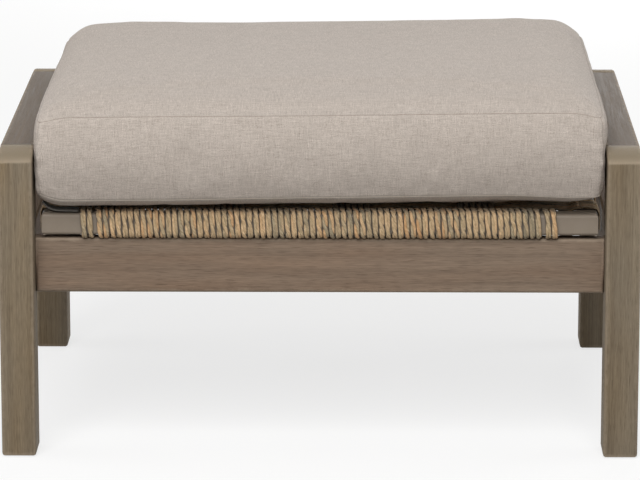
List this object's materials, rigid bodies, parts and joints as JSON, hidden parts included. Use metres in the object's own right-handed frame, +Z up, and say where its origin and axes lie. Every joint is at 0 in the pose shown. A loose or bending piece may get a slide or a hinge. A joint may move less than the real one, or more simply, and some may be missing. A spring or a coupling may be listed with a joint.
{
  "type": "outdoor ottoman footstool",
  "caption": "Low timber footstool frame with short arms and a cord-wound tube seat frame, carrying a loose crowned box cushion with a zipped back.",
  "frame": {"origin": "on the floor under the middle of the timber frame, halfway between the legs", "axes": "+Z up, +X to the right as seen from the front, -Y towards the front, where the cord winding shows"},
  "size_m": [0.74, 0.56, 0.4277],
  "materials": {
    "timber": "weathered grey-brown hardwood, brushed and oiled matt, darker in the grain",
    "arm_timber": "the same hardwood, greyer where it lies open to the sky",
    "coated_tube": "taupe powder coat, satin with fine orange peel",
    "steel": "zinc-plated, satin",
    "cord": "twisted two-ply outdoor cord, straw, khaki and tan strands",
    "cushion_fabric": "plain-woven outdoor cloth, warm greige, matt with a slight melange",
    "foam": "open-cell reticulated foam",
    "strap_webbing": "light grey flat webbing",
    "zip": "moulded plastic zip in the cloth's colour",
    "glide_plastic": "dark moulded plastic"
  },
  "bodies": {
    "frame": {"front_left_leg": "timber", "front_right_leg": "timber", "rear_left_leg": "timber", "rear_right_leg": "timber", "front_apron": "timber", "rear_apron": "timber", "left_side_rail": "timber", "right_side_rail": "timber", "left_arm_rail": "arm_timber", "right_arm_rail": "arm_timber", "front_left_foot_glide": "glide_plastic", "front_right_foot_glide": "glide_plastic", "rear_left_foot_glide": "glide_plastic", "rear_right_foot_glide": "glide_plastic", "front_seat_tube": "coated_tube", "rear_seat_tube": "coated_tube", "left_seat_tube": "coated_tube", "right_seat_tube": "coated_tube", "front_left_seat_tab": "coated_tube", "front_right_seat_tab": "coated_tube", "rear_left_seat_tab": "coated_tube", "rear_right_seat_tab": "coated_tube", "front_left_corner_bracket": "steel", "front_right_corner_bracket": "steel", "rear_left_corner_bracket": "steel", "rear_right_corner_bracket": "steel", "front_left_tab_screw": "steel", "front_right_tab_screw": "steel", "rear_left_tab_screw": "steel", "rear_right_tab_screw": "steel", "front_left_apron_screw": "steel", "front_right_apron_screw": "steel", "rear_left_apron_screw": "steel", "rear_right_apron_screw": "steel", "front_left_rail_screw": "steel", "front_right_rail_screw": "steel", "rear_left_rail_screw": "steel", "rear_right_rail_screw": "steel", "front_cord_winding": "cord", "cord_seat": "cord"},
    "cushion": {"cushion_cover": "cushion_fabric", "cushion_foam": "foam", "zip_chain": "zip", "left_cushion_strap": "strap_webbing", "right_cushion_strap": "strap_webbing"},
    "zip_slider": {"zip_slider": "zip"},
    "zip_pull": {"zip_pull": "zip"}
  },
  "joints": [
    {"name": "cushion_lift", "type": "slide", "parent": "frame", "child": "cushion", "axis": [0, 0, 1], "range_m": [0, 0.13]},
    {"name": "zip_slide", "type": "slide", "parent": "cushion", "child": "zip_slider", "axis": [1, 0, 0], "range_m": [0, 0.47]},
    {"name": "zip_pull_swing", "type": "hinge", "parent": "zip_slider", "child": "zip_pull", "pos_m": [-0.235, 0.2773, 0.3472], "axis": [1, 0, 0], "range_deg": [0, 160]}
  ]
}
